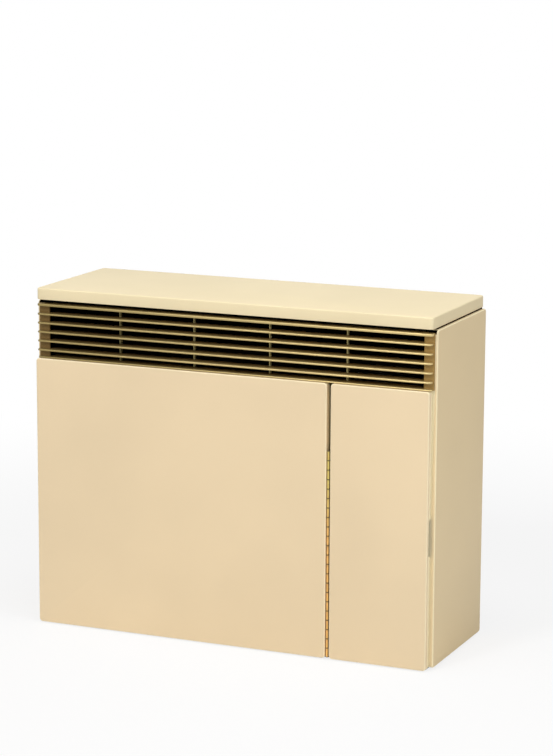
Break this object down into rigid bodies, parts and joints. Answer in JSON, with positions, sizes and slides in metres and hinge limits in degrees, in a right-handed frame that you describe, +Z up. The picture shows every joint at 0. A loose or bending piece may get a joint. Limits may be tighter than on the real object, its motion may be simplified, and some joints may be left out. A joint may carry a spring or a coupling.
{
  "type": "gas convector heater",
  "caption": "Gas convector heater with cream casing, bronze louvre strip, hinged control door, heat exchanger and concentric wall flue.",
  "frame": {"origin": "centre of the bounding box's base, on the plane the base tray stands on", "axes": "+X to the right of someone facing the heater, +Y towards the wall, +Z up"},
  "size_m": [0.7, 0.241, 0.569],
  "materials": {
    "casing_enamel": "stove enamel, satin",
    "front_enamel": "stove enamel, satin",
    "cover_enamel": "stove enamel, satin",
    "grille_bronze": "bronze-gold moulding, metallic sheen",
    "galvanised": "galvanised sheet",
    "zinc_sheet": "bright zinc-plated sheet",
    "aluminised": "aluminised sheet",
    "hinge_brass": "rolled brass strip, dulled",
    "hinge_steel": "plated steel",
    "fastener_zinc": "bright zinc plate",
    "black_rubber": "matt",
    "catch_plastic": "matt",
    "exchanger_enamel": "heat-proof black-grey vitreous enamel",
    "flue_aluminium": "rolled sheet",
    "burner_steel": "aluminised, heat-tinted near the ports",
    "fibre_gasket": "pressed ceramic fibre",
    "mica_glass": "clear",
    "turned_brass": "turned, bright",
    "copper_tube": "drawn copper, dulled",
    "ceramic_white": "glazed ceramic",
    "lead_red": "silicone sheath",
    "valve_casting": "die-cast, shot-blasted",
    "spring_steel": "bright wire",
    "knob_black": "moulded",
    "fascia_dark": "printed dark panel",
    "button_red": "moulded"
  },
  "bodies": {
    "casing": {"base_tray": "galvanised", "back_frame": "galvanised", "front_frame": "galvanised", "side_panel_left": "casing_enamel", "side_panel_right": "casing_enamel", "top_cover": "cover_enamel", "cover_pads": "black_rubber", "air_deflector": "aluminised", "air_grille": "grille_bronze", "front_panel": "front_enamel", "panel_hooks": "zinc_sheet", "hinge_leaf_frame": "hinge_brass", "hinge_pin": "hinge_steel", "hinge_rivets_frame": "hinge_steel", "magnet_catch": "catch_plastic", "door_buffers": "black_rubber", "partition": "galvanised", "compartment_roof": "galvanised", "rear_heat_shield": "aluminised", "heat_exchanger": "exchanger_enamel", "exchanger_feet": "galvanised", "air_duct": "aluminised", "air_collar": "flue_aluminium", "flue_spigot": "flue_aluminium", "flue_baffle": "aluminised", "main_burner": "burner_steel", "burner_support": "burner_steel", "burner_plate": "zinc_sheet", "plate_gasket": "fibre_gasket", "plate_screws": "fastener_zinc", "injector": "turned_brass", "sight_glass": "mica_glass", "sight_glass_ring": "turned_brass", "pilot_burner": "turned_brass", "thermocouple": "copper_tube", "ignition_electrode": "ceramic_white", "ignition_lead": "lead_red", "pilot_tube": "copper_tube", "burner_tube": "copper_tube", "tube_nuts": "turned_brass", "gas_valve": "valve_casting", "valve_bracket": "zinc_sheet", "valve_screws": "fastener_zinc", "gas_inlet": "turned_brass", "inlet_union": "turned_brass", "knob_spring": "spring_steel", "control_fascia": "fascia_dark", "fascia_screws": "fastener_zinc", "piezo_igniter": "catch_plastic", "piezo_spring": "spring_steel", "room_sensor": "copper_tube", "rear_screws": "fastener_zinc"},
    "door": {"control_door": "front_enamel", "hinge_leaf_door": "hinge_brass", "hinge_rivets_door": "hinge_steel", "strike_plate": "zinc_sheet"},
    "knob_carrier": {"spindle_sleeve": "turned_brass"},
    "knob": {"control_knob": "knob_black", "valve_spindle": "hinge_steel"},
    "igniter_button": {"piezo_button": "button_red"}
  },
  "joints": [
    {"name": "door_hinge", "type": "hinge", "parent": "casing", "child": "door", "pos_m": [0.17325, -0.1173, 0.17], "axis": [0, 0, -1], "range_deg": [0, 100]},
    {"name": "knob_push", "type": "slide", "parent": "casing", "child": "knob_carrier", "axis": [0, 1, 0], "range_m": [0, 0.0035], "stiffness_N_per_m": 900, "springref_m": -0.004, "deforming": ["knob_spring"]},
    {"name": "knob_turn", "type": "hinge", "parent": "knob_carrier", "child": "knob", "pos_m": [0.239, -0.08, 0.172], "axis": [0, -1, 0], "range_deg": [0, 270]},
    {"name": "igniter_press", "type": "slide", "parent": "casing", "child": "igniter_button", "axis": [0, 1, 0], "range_m": [0, 0.006], "stiffness_N_per_m": 700, "springref_m": -0.003, "deforming": ["piezo_spring"]}
  ]
}
